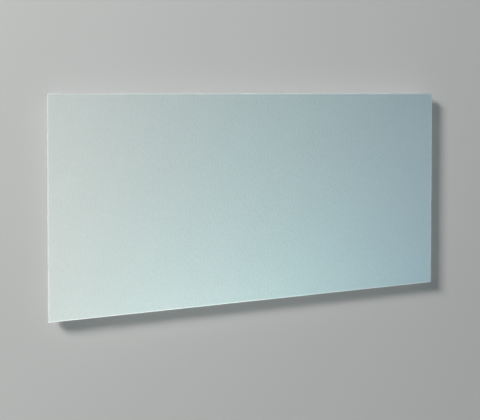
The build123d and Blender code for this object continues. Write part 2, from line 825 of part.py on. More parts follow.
with BuildPart() as junction_box_lid:
    with BuildSketch(from_wall(lid_inner)):
        with Locations(box_middle):
            RectangleRounded(box_width, box_height, box_corner)
    extrude(amount=-lid_height)
    chamfer(junction_box_lid.faces().sort_by(Axis.Y)[-1].edges(), length=lid_edge)
    with BuildSketch(from_wall(lid_outer)):
        with Locations(box_middle):
            panel_inset = 2 * lid_panel_inset
            Rectangle(box_width - panel_inset, box_height - panel_inset)
    extrude(amount=lid_panel_depth, mode=Mode.SUBTRACT)
    with BuildSketch(from_wall(lid_outer)):
        with Locations(*boss_points):
            Circle(lid_screw_radius + screw_play)
    extrude(amount=lid_height, mode=Mode.SUBTRACT)
    with BuildSketch(from_wall(lid_outer)):
        with Locations(*boss_points):
            Circle(lid_sink_radius)
    extrude(amount=lid_sink_depth, mode=Mode.SUBTRACT)
save(junction_box_lid.part, "junction_box_lid")

lid_screws = pan_screws(
    boss_points, lid_screw_seat, lid_screw_radius, lid_screw_head, lid_screw_head_height, lid_screw_length
)
save(lid_screws, "lid_screws")

box_screws = pan_screws(
    box_screw_points, box_floor_face, screw_radius, screw_head_radius, screw_head_height, box_screw_length
)
save(box_screws, "box_screws")

# Terminal block: a moulded body round three square brass sleeves, each with two grub screws
pole_offsets = [-pole_pitch, 0, pole_pitch]
clamp_points = [
    (block_middle[0] + pole, block_middle[1] + side * clamp_spread) for pole in pole_offsets for side in (-1, 1)
]
pole_points = [(block_middle[0] + pole, -sleeve_distance) for pole in pole_offsets]
sleeve_face = sleeve_distance - sleeve_side / 2
sleeve_tunnel = sleeve_side + 2 * sleeve_play
with BuildPart() as terminal_block:
    with BuildSketch(from_wall(box_floor_face)):
        with Locations(block_middle):
            Rectangle(block_width, block_height)
    extrude(amount=-block_depth)
    chamfer(terminal_block.faces().sort_by(Axis.Y)[-1].edges(), length=block_edge)
    with BuildSketch(Plane.XY.offset(block_top)):
        with Locations(*pole_points):
            Rectangle(sleeve_tunnel, sleeve_tunnel)
    extrude(amount=-block_height, mode=Mode.SUBTRACT)
    with BuildSketch(from_wall(block_face)):
        with Locations(*clamp_points):
            Circle(clamp_well_radius)
    extrude(amount=sleeve_face - block_face, mode=Mode.SUBTRACT)
    with BuildSketch(from_wall(block_face)):
        with Locations(*block_screw_points):
            Circle(block_screw_head + thread_play)
    extrude(amount=block_sink_depth, mode=Mode.SUBTRACT)
    with BuildSketch(from_wall(block_face)):
        with Locations(*block_screw_points):
            Circle(block_screw_radius + thread_play)
    extrude(amount=block_depth, mode=Mode.SUBTRACT)
save(terminal_block.part, "terminal_block")

with BuildPart() as terminal_sleeves:
    with BuildSketch(Plane.XY.offset(block_middle[1])):
        with Locations(*pole_points):
            Rectangle(sleeve_side, sleeve_side)
            Circle(sleeve_bore, mode=Mode.SUBTRACT)
    extrude(amount=sleeve_length / 2, both=True)
    with BuildSketch(from_wall(sleeve_face)):
        with Locations(*clamp_points):
            Circle(clamp_screw_radius + thread_play)
    extrude(amount=sleeve_side / 2, mode=Mode.SUBTRACT)
save(terminal_sleeves.part, "terminal_sleeves")

with BuildPart() as terminal_screws:
    with BuildSketch(from_wall(sleeve_face - clamp_screw_rise)):
        with Locations(*clamp_points):
            Circle(clamp_screw_radius)
    extrude(amount=clamp_screw_rise + sleeve_side / 2 - lead_bore)
save(terminal_screws.part, "terminal_screws")

block_screw_seat = block_face + block_sink_depth
block_screw_length = box_floor_face + block_pilot_depth - thread_play - block_screw_seat
block_screws = pan_screws(
    block_screw_points,
    block_screw_seat,
    block_screw_radius,
    block_screw_head,
    block_screw_head_height,
    block_screw_length,
)
save(block_screws, "block_screws")

# Grommet: a neck through the cover and the box's floor, with a lip on each side
with BuildPart() as lead_grommet:
    with BuildSketch(from_wall(box_floor_face)):
        with Locations(grommet_middle):
            SlotOverall(grommet_neck_length, grommet_neck_width)
    extrude(amount=cover_inner - box_floor_face)
    for face, direction in ((box_floor_face, -1), (cover_inner, 1)):
        with BuildSketch(from_wall(face)):
            with Locations(grommet_middle):
                SlotOverall(grommet_neck_length + 2 * grommet_lip, grommet_neck_width + 2 * grommet_lip)
        extrude(amount=direction * grommet_lip_height)
    with BuildSketch(from_wall(box_floor_face - grommet_lip_height)):
        with Locations(grommet_middle):
            SlotOverall(grommet_bore_length, grommet_bore_width)
    extrude(amount=cover_inner - box_floor_face + 2 * grommet_lip_height, mode=Mode.SUBTRACT)
save(lead_grommet.part, "lead_grommet")

# Earth stud, pressed into the cover, with nut, ring terminal, star washer and nut
with BuildPart() as earth_stud:
    with BuildSketch(from_wall(cover_inner)):
        with Locations(earth_middle):
            Circle(earth_stud_head)
    extrude(amount=earth_stud_head_height)
    with BuildSketch(from_wall(cover_inner)):
        with Locations(earth_middle):
            Circle(earth_stud_radius)
    extrude(amount=-earth_stud_length)
save(earth_stud.part, "earth_stud")

with BuildPart() as earth_nuts:
    for seat in (wall_gap, star_back):
        with BuildSketch(from_wall(seat)):
            with Locations(earth_middle):
                RegularPolygon(earth_nut_flats / 2, 6, major_radius=False)
                Circle(earth_stud_radius + thread_play, mode=Mode.SUBTRACT)
        extrude(amount=-earth_nut_height)
save(earth_nuts.part, "earth_nuts")

with BuildPart() as earth_ring_terminal:
    ring_end = ring_barrel_start + barrel_length
    with BuildSketch(from_wall(ring_back)):
        with Locations(earth_middle):
            Circle(ring_radius)
        with Locations((earth_middle[0] + ring_end / 2, earth_middle[1])):
            Rectangle(ring_end, 2 * barrel_radius)
        with Locations(earth_middle):
            Circle(earth_stud_radius + thread_play, mode=Mode.SUBTRACT)
    extrude(amount=ring_gauge)
    barrel_start = (earth_middle[0] + ring_barrel_start, -sleeve_distance, earth_middle[1])
    with BuildSketch(Plane(origin=barrel_start, x_dir=(0, 0, 1), z_dir=(1, 0, 0))):
        Circle(barrel_radius)
    extrude(amount=barrel_length)
    with BuildSketch(Plane(origin=barrel_start, x_dir=(0, 0, 1), z_dir=(1, 0, 0))):
        Circle(lead_bore)
    extrude(amount=barrel_length, mode=Mode.SUBTRACT)
save(earth_ring_terminal.part, "earth_ring_terminal")

with BuildPart() as earth_star_washer:
    with BuildSketch(from_wall(star_back)):
        with Locations(earth_middle):
            Circle(star_radius)
            Circle(earth_stud_radius + thread_play, mode=Mode.SUBTRACT)
            with PolarLocations(star_radius, star_teeth):
                Rectangle(2 * star_notch_depth, star_notch_width, mode=Mode.SUBTRACT)
    extrude(amount=star_gauge)
save(earth_star_washer.part, "earth_star_washer")

# Cable gland, pointing down: body and locknut clamp the box's wall, the nut squeezes the seal
with BuildPart() as gland_body:
    with BuildSketch(gland_plane):
        with Locations(gland_point):
            RegularPolygon(gland_flats / 2, 6, major_radius=False)
    extrude(amount=-gland_hex_height)
    with BuildSketch(gland_plane.offset(gland_inside)):
        with Locations(gland_point):
            Circle(gland_radius)
    extrude(amount=-(gland_inside + gland_hex_height + gland_tube_length))
    with BuildSketch(gland_plane.offset(gland_inside)):
        with Locations(gland_point):
            Circle(gland_through_bore)
    extrude(amount=-(gland_inside + gland_hex_height), mode=Mode.SUBTRACT)
    with BuildSketch(gland_plane.offset(-gland_hex_height)):
        with Locations(gland_point):
            Circle(gland_tube_bore)
    extrude(amount=-gland_tube_length, mode=Mode.SUBTRACT)
save(gland_body.part, "gland_body")

with BuildPart() as gland_locknut:
    with BuildSketch(gland_plane.offset(box_wall)):
        with Locations(gland_point):
            RegularPolygon(gland_flats / 2, 6, major_radius=False)
            Circle(gland_radius + thread_play, mode=Mode.SUBTRACT)
    extrude(amount=locknut_height)
save(gland_locknut.part, "gland_locknut")

with BuildPart() as gland_seal:
    with BuildSketch(gland_plane.offset(-gland_hex_height)):
        with Locations(gland_point):
            Circle(gland_tube_bore - thread_play)
    extrude(amount=-gland_tube_length)
    with BuildSketch(gland_plane.offset(-gland_hex_height)):
        with Locations(gland_point):
            Circle(gland_through_bore - thread_play)
    extrude(amount=seal_nose)
    with BuildSketch(gland_plane.offset(seal_nose - gland_hex_height)):
        with Locations(gland_point):
            Circle(seal_bore)
    extrude(amount=-(seal_nose + gland_tube_length), mode=Mode.SUBTRACT)
save(gland_seal.part, "gland_seal")

with BuildPart() as gland_nut:
    nut_plane = gland_plane.offset(-gland_hex_height - nut_gap)
    with BuildSketch(nut_plane):
        with Locations(gland_point):
            RegularPolygon(gland_flats / 2, 6, major_radius=False)
    extrude(amount=-nut_hex_height)
    with BuildSketch(nut_plane.offset(-nut_hex_height)):
        with Locations(gland_point):
            Circle(nut_round_radius)
    extrude(amount=nut_hex_height - nut_height)
    chamfer(gland_nut.edges().group_by(Axis.Z)[0], length=nut_edge)
    with BuildSketch(nut_plane):
        with Locations(gland_point):
            Circle(gland_radius + thread_play)
    extrude(amount=-nut_floor_depth, mode=Mode.SUBTRACT)
    with BuildSketch(nut_plane.offset(-nut_floor_depth)):
        with Locations(gland_point):
            Circle(nut_mouth_radius)
    extrude(amount=nut_floor_depth - nut_height, taper=-nut_mouth_slope, mode=Mode.SUBTRACT)
save(gland_nut.part, "gland_nut")
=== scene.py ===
import json
import math
from contextlib import contextmanager

import bmesh
import bpy
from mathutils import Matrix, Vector

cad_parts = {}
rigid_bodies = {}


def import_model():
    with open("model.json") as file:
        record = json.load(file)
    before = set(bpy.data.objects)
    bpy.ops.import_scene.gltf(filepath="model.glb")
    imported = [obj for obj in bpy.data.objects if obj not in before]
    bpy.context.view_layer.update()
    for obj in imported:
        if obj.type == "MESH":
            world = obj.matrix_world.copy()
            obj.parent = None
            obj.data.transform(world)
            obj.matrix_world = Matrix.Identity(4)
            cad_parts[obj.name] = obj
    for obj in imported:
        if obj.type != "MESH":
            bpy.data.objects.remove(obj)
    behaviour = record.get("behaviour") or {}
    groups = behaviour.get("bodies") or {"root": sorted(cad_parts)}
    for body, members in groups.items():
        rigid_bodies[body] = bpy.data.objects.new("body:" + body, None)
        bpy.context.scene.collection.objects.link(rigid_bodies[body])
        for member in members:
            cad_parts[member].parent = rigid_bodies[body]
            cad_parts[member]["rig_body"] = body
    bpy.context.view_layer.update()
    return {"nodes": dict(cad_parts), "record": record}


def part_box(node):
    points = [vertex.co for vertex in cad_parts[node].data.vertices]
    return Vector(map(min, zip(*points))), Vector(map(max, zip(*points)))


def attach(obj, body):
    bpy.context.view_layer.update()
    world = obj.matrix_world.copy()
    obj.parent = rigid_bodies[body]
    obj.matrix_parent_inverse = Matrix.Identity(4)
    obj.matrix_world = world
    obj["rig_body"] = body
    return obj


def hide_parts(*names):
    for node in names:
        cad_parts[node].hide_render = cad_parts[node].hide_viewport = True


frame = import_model()
print("frame loaded")

# Camera: on the left, level with the panel's upper edge

camera = {
    "place": (-0.940, -2.172, 0.116),
    "turn": 22.555,  # degrees to the right of square on
    "dip": 1.44,  # degrees below level
    "lens": 60.5,
    "shiftUp": -0.198,
    "clipStart": 0.01,
}
bpy.ops.object.camera_add(
    location=camera["place"],
    rotation=(math.radians(90 - camera["dip"]), 0, -math.radians(camera["turn"])),
)
bpy.context.scene.camera = bpy.context.object
bpy.context.object.data.lens = camera["lens"]
bpy.context.object.data.shift_y = camera["shiftUp"]
bpy.context.object.data.clip_start = camera["clipStart"]
bpy.context.scene.view_settings.view_transform = "Standard"

# Lamps: the key is at the upper left, and low ones fill from warm to cool. Three just behind the wall's plane
# catch the folds, two light the back, and one lights the wall alone. A matt lamp leaves no patch of gloss.

lamps = {
    "keyLamp": {
        "place": (-1.45, -1.45, 0.85), "size": 0.5, "watts": 8.9,
        "colour": (1.0, 0.96, 0.9), "misses": ("wall",),
    },
    "lowLamp": {
        "place": (-1.1, -0.8, -0.3), "size": 1.0, "watts": 6.6,
        "colour": (1.0, 0.8, 0.73), "matt": True,
    },
    "midLamp": {
        "place": (0.0, -0.8, -0.7), "size": 0.9, "watts": 3.1,
        "colour": (0.55, 1.0, 0.88), "matt": True,
    },
    "coolLamp": {
        "place": (0.6, -1.0, -0.6), "size": 0.9, "watts": 1.3,
        "colour": (0.05, 0.2, 1.0), "matt": True,
    },
    "topLamp": {
        "place": (0.1, 0.1, 0.85), "size": 0.8, "watts": 3.5,
        "colour": (1.0, 1.0, 1.0), "matt": True,
    },
    "rightLamp": {
        "place": (1.5, 0.08, -0.2), "size": 0.6, "watts": 7, "colour": (1.0, 0.97, 0.93),
    },
    "underLamp": {
        "place": (-0.2, 0.06, -0.9), "size": 0.8, "watts": 6,
        "colour": (1.0, 1.0, 0.97), "matt": True,
    },
    "backLamp": {
        "place": (0.8, 1.3, 1.7), "size": 1.0, "watts": 26,
        "colour": (1.0, 0.98, 0.96), "misses": ("wall",),
    },
    "backFill": {
        "place": (-1.9, 1.9, -0.2), "size": 1.6, "watts": 9,
        "colour": (0.93, 0.97, 1.0), "misses": ("wall",),
    },
    "wallLamp": {
        "place": (-5.4, -3.75, 3.3), "size": 1.65, "watts": 765,
        "colour": (1.0, 0.99, 0.97), "only": "wall",
    },
}
lampAim = Vector((0, 0, -0.18))
lampOf = {}
for name, lamp in lamps.items():
    place = Vector(lamp["place"])
    aim = (lampAim - place).to_track_quat("-Z", "Y").to_euler()
    bpy.ops.object.light_add(type="AREA", location=place, rotation=aim)
    light = bpy.context.object
    light.name = name
    light.data.size = lamp["size"]
    light.data.energy = lamp["watts"]
    light.data.color = lamp["colour"]
    light.visible_camera = False
    light.visible_glossy = "matt" not in lamp
    lampOf[name] = light
print("camera and lamps placed")

ambient = {"colour": (0.5, 0.86, 1.0, 1), "strength": 0.17, "background": (0.76, 0.76, 0.755, 1)}


# Shader arithmetic: a wire is a socket that takes + - * with numbers and other wires


class Wire:
    def __init__(self, paint, socket):
        self.paint = paint
        self.socket = socket

    def combine(self, operation, first, second):
        return self.paint.node("ShaderNodeMath", {"operation": operation}, {0: first, 1: second})

    def __add__(self, other):
        return self.combine("ADD", self, other)

    def __radd__(self, other):
        return self.combine("ADD", other, self)

    def __sub__(self, other):
        return self.combine("SUBTRACT", self, other)

    def __rsub__(self, other):
        return self.combine("SUBTRACT", other, self)

    def __mul__(self, other):
        return self.combine("MULTIPLY", self, other)

    def __rmul__(self, other):
        return self.combine("MULTIPLY", other, self)

    def larger(self, other):
        return self.combine("MAXIMUM", self, other)

    def absolute(self):
        return self.combine("ABSOLUTE", self, 0)


class Paint:
    # one material, with its shader ready to be fed
    def __init__(self, name):
        self.material = bpy.data.materials.new(name)
        self.material.use_nodes = True
        self.tree = self.material.node_tree
        self.tree.nodes.clear()
        self.output = self.tree.nodes.new("ShaderNodeOutputMaterial")
        self.shader = self.tree.nodes.new("ShaderNodeBsdfPrincipled")
        self.tree.links.new(self.shader.outputs[0], self.output.inputs[0])
        self.place = self.node("ShaderNodeTexCoord", output="Object")

    def node(self, kind, settings=None, inputs=None, output=0):
        made = self.tree.nodes.new(kind)
        for key, value in (settings or {}).items():
            setattr(made, key, value)
        for key, value in (inputs or {}).items():
            self.feed(made.inputs[key], value)
        return Wire(self, made.outputs[output])

    def feed(self, socket, value):
        if isinstance(value, Wire):
            self.tree.links.new(value.socket, socket)
        else:
            socket.default_value = value

    def set(self, **values):
        for key, value in values.items():
            self.feed(self.shader.inputs[key.replace("_", " ")], value)

    def noise(self, scale, detail=3, roughness=0.55, stretch=(1, 1, 1), distortion=0.0):
        place = self.node("ShaderNodeMapping", inputs={"Vector": self.place, "Scale": stretch})
        return self.node(
            "ShaderNodeTexNoise",
            inputs={
                "Vector": place,
                "Scale": scale,
                "Detail": detail,
                "Roughness": roughness,
                "Distortion": distortion,
            },
        )

    def cells(self, scale, stretch=(1, 1, 1), output="Color"):
        place = self.node("ShaderNodeMapping", inputs={"Vector": self.place, "Scale": stretch})
        return self.node("ShaderNodeTexVoronoi", inputs={"Vector": place, "Scale": scale}, output=output)

    def blend(self, mask, first, second):
        # a Mix node takes its colours at 6 and 7, and gives one at 2
        return self.node("ShaderNodeMix", {"data_type": "RGBA"}, {0: mask, 6: first, 7: second}, 2)

    def range(self, value, low, high, toLow=0.0, toHigh=1.0):
        return self.node(
            "ShaderNodeMapRange",
            inputs={"Value": value, "From Min": low, "From Max": high, "To Min": toLow, "To Max": toHigh},
        )

    def bump(self, height, depth, strength):
        return self.node("ShaderNodeBump", inputs={"Height": height, "Distance": depth, "Strength": strength})


def shade(colour, factor):
    return (*[min(1.0, channel * factor) for channel in colour[:3]], 1)


def around(colour, spread):
    return shade(colour, 1 - spread), shade(colour, 1 + spread)


# Finishes. Grain sizes are in millimetres.


def perMetre(millimetres):
    return 1000 / millimetres


def powderCoat(name, look):
    paint = Paint(name)
    peel = paint.noise(perMetre(look["peel"]), 2, 0.5, look["sag"])
    speck = paint.noise(perMetre(look["speck"]), 3, 0.75)
    cloud = paint.noise(perMetre(look["cloud"]), 2, 0.5)
    tone = paint.range(peel * 0.55 + speck * 0.3 + cloud * 0.15, 0.35, 0.65)
    coat = paint.blend(tone, *around(look["colour"], look["mottle"]))

    # painted highlight: the base colour is made lighter in a band along the front's folds, in place of the
    # light that the folds catch
    low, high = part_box("front_panel")
    middle, half = (low + high) / 2, (high - low) / 2
    axes = [paint.node("ShaderNodeSeparateXYZ", inputs={0: paint.place}, output=axis) for axis in range(3)]
    across = [(axes[axis] - middle[axis]).absolute() - (half[axis] - look["edge"]) for axis in (0, 2)]
    near = paint.range(across[0].larger(across[1]), 0, look["edge"] / 4)
    front = paint.range(axes[1] - low.y, look["edge"], look["edge"] * 1.25, 1, 0)
    paint.set(
        Base_Color=paint.blend(near * front * look["edgeShare"], coat, look["edgeColour"]),
        Roughness=paint.range(speck, 0.3, 0.7, look["roughness"] - 0.05, look["roughness"] + 0.05),
        Normal=paint.bump(peel * 0.6 + speck * 0.4, look["relief"], 0.8),
    )
    return paint.material


def spangledZinc(name, look):
    paint = Paint(name)
    crystal = paint.cells(perMetre(look["crystal"]))
    split = paint.node("ShaderNodeSeparateColor", inputs={0: crystal})
    finer = paint.cells(perMetre(look["crystal"] / look["finer"]))
    small = paint.node("ShaderNodeSeparateColor", inputs={0: finer})
    frost = paint.noise(perMetre(look["frost"]), 4, 0.65)
    rolled = paint.noise(perMetre(look["rolled"]), 3, 0.6, look["rollAlong"])
    tone = split * 0.45 + small * 0.2 + frost * 0.2 + rolled * 0.15
    paint.set(
        Base_Color=paint.blend(tone, *around(look["colour"], look["contrast"])),
        Metallic=look["metallic"],
        Roughness=paint.range(tone, 0.2, 0.8, look["roughness"] + 0.07, look["roughness"] - 0.07),
        Normal=paint.bump(rolled * 0.6 + frost * 0.4, look["relief"], 0.5),
    )
    return paint.material


def workedMetal(name, look):
    paint = Paint(name)
    drawn = paint.noise(perMetre(look["grain"]), 3, 0.6, look["grainAlong"])
    stain = paint.noise(perMetre(look["stain"]), 3, 0.6)
    tone = paint.range(drawn * 0.6 + stain * 0.4, 0.3, 0.7)
    paint.set(
        Base_Color=paint.blend(tone, look["dull"], look["colour"]),
        Metallic=look["metallic"],
        Roughness=paint.range(tone, 0, 1, look["roughness"] + 0.1, look["roughness"] - 0.05),
        Normal=paint.bump(drawn, look["relief"], 0.5),
    )
    return paint.material


def sparkedMoulding(name, look):
    paint = Paint(name)
    pits = paint.noise(perMetre(look["spark"]), 2, 0.6)
    flow = paint.noise(perMetre(look["flow"]), 3, 0.6, (1, 1, 0.4))
    tone = paint.range(pits * 0.4 + flow * 0.6, 0.3, 0.7)
    paint.set(
        Base_Color=paint.blend(tone, *around(look["colour"], 0.07)),
        Roughness=paint.range(pits, 0.3, 0.7, look["roughness"] - 0.06, look["roughness"] + 0.06),
        Normal=paint.bump(pits, look["relief"], 0.5),
    )
    return paint.material


def softRubber(name, look):
    paint = Paint(name)
    bloom = paint.noise(perMetre(look["bloom"]), 4, 0.7)
    skin = paint.noise(perMetre(look["skin"]), 2, 0.5)
    paint.set(
        Base_Color=paint.blend(paint.range(bloom, 0.4, 0.75), look["colour"], look["bloomColour"]),
        Roughness=paint.range(bloom, 0.3, 0.7, look["roughness"] - 0.07, look["roughness"] + 0.07),
        Normal=paint.bump(skin, look["relief"], 0.4),
    )
    return paint.material


def micaLaminate(name, look):
    paint = Paint(name)
    scales = paint.cells(perMetre(look["flake"]), (1, 1, 1.6))
    flake = paint.node("ShaderNodeSeparateColor", inputs={0: scales})
    haze = paint.noise(perMetre(look["haze"]), 4, 0.6)
    tone = flake * 0.6 + haze * 0.4
    paint.set(
        Base_Color=paint.blend(tone, look["dark"], look["light"]),
        Roughness=paint.range(tone, 0.2, 0.8, 0.28, 0.5),
        Normal=paint.bump(flake, look["relief"], 0.4),
    )
    return paint.material


def printedCarbon(name, look):
    paint = Paint(name)
    mesh = paint.node(
        "ShaderNodeTexWave",
        {"wave_type": "BANDS", "bands_direction": "DIAGONAL"},
        {"Vector": paint.place, "Scale": perMetre(look["screen"]), "Distortion": 0.5},
        1,
    )
    cloud = paint.noise(perMetre(look["cloud"]), 3, 0.6)
    paint.set(
        Base_Color=paint.blend(cloud, shade(look["colour"], 0.8), shade(look["colour"], 1.4)),
        Roughness=paint.range(cloud, 0.3, 0.7, 0.5, 0.68),
        Normal=paint.bump(mesh * 0.5 + cloud * 0.5, look["relief"], 0.4),
    )
    return paint.material


def crinkledFoil(name, look):
    paint = Paint(name)
    crease = paint.cells(perMetre(look["crease"]), output="Distance")
    ripple = paint.noise(perMetre(look["ripple"]), 4, 0.6)
    paint.set(
        Base_Color=paint.blend(ripple, shade(look["colour"], 0.93), look["colour"]),
        Metallic=1.0,
        Roughness=paint.range(ripple, 0.3, 0.7, 0.16, 0.3),
        Normal=paint.bump(crease * 0.6 + ripple * 0.4, look["relief"], 0.6),
    )
    return paint.material


def fibreBoard(name, look):
    paint = Paint(name)
    fibre = paint.noise(perMetre(look["fibre"]), 5, 0.7, (1, 1, 5), 0.6)
    cross = paint.noise(perMetre(look["fibre"]), 5, 0.7, (5, 1, 1), 0.6)
    lump = paint.noise(perMetre(look["lump"]), 4, 0.6)
    tone = paint.range(fibre * 0.35 + cross * 0.35 + lump * 0.3, 0.35, 0.65)
    paint.set(
        Base_Color=paint.blend(tone, look["dark"], look["light"]),
        Roughness=0.92,
        Normal=paint.bump(fibre * 0.4 + cross * 0.4 + lump * 0.2, look["relief"], 0.7),
    )
    return paint.material


finishes = {
    "front_enamel": (powderCoat, {
        "colour": (0.72, 0.775, 0.765, 1), "mottle": 0.025, "roughness": 0.42,
        "peel": 6, "sag": (1, 1, 0.6), "speck": 2.4, "cloud": 180, "relief": 0.0024,
        # painted highlight along the front's folds: the band's width, its colour and its share over the coat
        "edge": 0.0038, "edgeColour": (0.95, 0.95, 0.94, 1), "edgeShare": 0.7,
    }),
    "zinc_sheet": (spangledZinc, {
        "colour": (0.60, 0.62, 0.635, 1), "contrast": 0.16, "metallic": 0.75, "roughness": 0.4,
        "crystal": 11, "finer": 2.3, "frost": 2.5, "rolled": 3, "rollAlong": (0.06, 1, 1), "relief": 0.00003,
    }),
    "zinc_bracket": (spangledZinc, {
        "colour": (0.52, 0.54, 0.56, 1), "contrast": 0.12, "metallic": 0.85, "roughness": 0.34,
        "crystal": 5, "finer": 2.3, "frost": 1.6, "rolled": 1.5, "rollAlong": (0.05, 1, 1), "relief": 0.00002,
    }),
    "zinc_fastener": (workedMetal, {
        "colour": (0.66, 0.67, 0.69, 1), "dull": (0.44, 0.45, 0.47, 1), "metallic": 0.95, "roughness": 0.28,
        "grain": 0.5, "grainAlong": (1, 0.3, 1), "stain": 6, "relief": 0.00001,
    }),
    "rivet_alloy": (workedMetal, {
        "colour": (0.78, 0.79, 0.80, 1), "dull": (0.60, 0.61, 0.62, 1), "metallic": 0.95, "roughness": 0.34,
        "grain": 0.6, "grainAlong": (1, 1, 1), "stain": 4, "relief": 0.00001,
    }),
    "brass": (workedMetal, {
        "colour": (0.80, 0.61, 0.27, 1), "dull": (0.60, 0.42, 0.17, 1), "metallic": 1.0, "roughness": 0.26,
        "grain": 0.4, "grainAlong": (1, 1, 0.2), "stain": 5, "relief": 0.00001,
    }),
    "copper": (workedMetal, {
        "colour": (0.83, 0.46, 0.32, 1), "dull": (0.58, 0.27, 0.17, 1), "metallic": 1.0, "roughness": 0.3,
        "grain": 0.8, "grainAlong": (0.04, 1, 1), "stain": 30, "relief": 0.00001,
    }),
    "tin_plate": (workedMetal, {
        "colour": (0.76, 0.75, 0.72, 1), "dull": (0.58, 0.56, 0.52, 1), "metallic": 0.95, "roughness": 0.3,
        "grain": 0.5, "grainAlong": (1, 1, 0.3), "stain": 4, "relief": 0.00001,
    }),
    "black_rubber": (softRubber, {
        "colour": (0.028, 0.028, 0.03, 1), "bloomColour": (0.06, 0.06, 0.062, 1), "roughness": 0.72,
        "bloom": 5, "skin": 0.6, "relief": 0.00004,
    }),
    "grey_seal": (softRubber, {
        "colour": (0.15, 0.155, 0.16, 1), "bloomColour": (0.2, 0.205, 0.21, 1), "roughness": 0.62,
        "bloom": 4, "skin": 0.5, "relief": 0.00003,
    }),
    "brown_silicone": (softRubber, {
        "colour": (0.19, 0.085, 0.045, 1), "bloomColour": (0.26, 0.13, 0.08, 1), "roughness": 0.5,
        "bloom": 12, "skin": 0.7, "relief": 0.00002,
    }),
    "blue_silicone": (softRubber, {
        "colour": (0.03, 0.12, 0.42, 1), "bloomColour": (0.06, 0.18, 0.5, 1), "roughness": 0.5,
        "bloom": 12, "skin": 0.7, "relief": 0.00002,
    }),
    "green_silicone": (softRubber, {
        "colour": (0.08, 0.32, 0.09, 1), "bloomColour": (0.55, 0.52, 0.05, 1), "roughness": 0.5,
        "bloom": 9, "skin": 0.7, "relief": 0.00002,
    }),
    "grey_moulding": (sparkedMoulding, {
        "colour": (0.19, 0.195, 0.205, 1), "roughness": 0.52, "spark": 0.45, "flow": 25, "relief": 0.00004,
    }),
    "black_moulding": (sparkedMoulding, {
        "colour": (0.033, 0.033, 0.036, 1), "roughness": 0.48, "spark": 0.5, "flow": 12, "relief": 0.00003,
    }),
    "white_moulding": (sparkedMoulding, {
        "colour": (0.80, 0.79, 0.75, 1), "roughness": 0.4, "spark": 0.4, "flow": 10, "relief": 0.00002,
    }),
    "brown_phenolic": (sparkedMoulding, {
        "colour": (0.12, 0.055, 0.032, 1), "roughness": 0.32, "spark": 0.7, "flow": 6, "relief": 0.00002,
    }),
    "mica": (micaLaminate, {
        "dark": (0.50, 0.43, 0.30, 1), "light": (0.74, 0.68, 0.54, 1),
        "flake": 9, "haze": 30, "relief": 0.00004,
    }),
    "carbon_ink": (printedCarbon, {
        "colour": (0.028, 0.028, 0.03, 1), "screen": 0.5, "cloud": 14, "relief": 0.00002,
    }),
    "foil": (crinkledFoil, {
        "colour": (0.88, 0.885, 0.89, 1), "crease": 26, "ripple": 9, "relief": 0.0002,
    }),
    "mineral_board": (fibreBoard, {
        "dark": (0.60, 0.54, 0.42, 1), "light": (0.82, 0.78, 0.67, 1),
        "fibre": 2.2, "lump": 14, "relief": 0.0002,
    }),
}
materials = {slot: make(slot, look) for slot, (make, look) in finishes.items()}
slotOf = {row["node"]: row["material_slot"] for row in frame["record"]["subparts"]}
for node, obj in frame["nodes"].items():
    obj.data.materials.clear()
    obj.data.materials.append(materials[slotOf[node]])
print("finishes made:", len(materials))


# Hand tools

onPlane = 0.0001  # how near counts as lying on a plane
beyond = 0.001  # how far a cutter reaches past what it cuts
overlap = 0.0003  # how far pieces reach into each other before they are fused
weld = 0.000002  # corners nearer than this are one


def selectOnly(*objs):
    bpy.ops.object.select_all(action="DESELECT")
    for obj in objs:
        obj.select_set(True)
    bpy.context.view_layer.objects.active = objs[0]


def settle(obj):
    selectOnly(obj)
    bpy.ops.object.transform_apply(location=True, rotation=True, scale=True)
    return obj


@contextmanager
def editing(obj):
    selectOnly(obj)
    bpy.ops.object.mode_set(mode="EDIT")
    yield
    bpy.ops.object.mode_set(mode="OBJECT")


def chooseFaces(obj, test):
    bpy.ops.mesh.select_mode(type="FACE")
    bpy.ops.mesh.select_all(action="DESELECT")
    shape = bmesh.from_edit_mesh(obj.data)
    for face in shape.faces:
        if test(face.calc_center_median(), face.normal):
            face.select_set(True)
    bmesh.update_edit_mesh(obj.data)


def chooseEdges(obj, test):
    bpy.ops.mesh.select_mode(type="EDGE")
    bpy.ops.mesh.select_all(action="DESELECT")
    shape = bmesh.from_edit_mesh(obj.data)
    for edge in shape.edges:
        start, end = (vert.co for vert in edge.verts)
        if test((start + end) / 2, (end - start).normalized()):
            edge.select_set(True)
    bmesh.update_edit_mesh(obj.data)


def runsInY(along):
    return abs(along.y) > 0.9


def runsAslant(along):
    return abs(abs(along.x) - abs(along.z)) < 0.1


def facesBack(normal, least=0.9):
    return normal.y > least


def modify(obj, kind, **settings):
    selectOnly(obj)
    modifier = obj.modifiers.new(kind, kind)
    for key, value in settings.items():
        setattr(modifier, key, value)
    bpy.ops.object.modifier_apply(modifier=modifier.name)


def block(name, low, high):
    bpy.ops.mesh.primitive_cube_add(size=1, location=(Vector(low) + Vector(high)) / 2)
    obj = bpy.context.object
    obj.name = name
    obj.scale = Vector(high) - Vector(low)
    return settle(obj)


def disc(name, x, z, fromY, toY, radius, sides):
    # a round bar along Y
    bpy.ops.mesh.primitive_cylinder_add(
        vertices=sides,
        radius=radius,
        depth=abs(toY - fromY),
        location=(x, (fromY + toY) / 2, z),
        rotation=(math.radians(90), 0, 0),
    )
    bpy.context.object.name = name
    return settle(bpy.context.object)


def joined(name, objs):
    selectOnly(*objs)
    bpy.ops.object.join()
    objs[0].name = name
    return objs[0]


def fused(name, base, *others):
    # one closed skin, from pieces that reach into each other
    for other in others:
        modify(base, "BOOLEAN", operation="UNION", solver="EXACT", object=other)
        bpy.data.objects.remove(other)
    base.name = name
    return base


def copyOf(pattern, **placed):
    copy = pattern.copy()
    copy.data = pattern.data.copy()
    bpy.context.scene.collection.objects.link(copy)
    for key, value in placed.items():
        setattr(copy, key, value)
    return settle(copy)


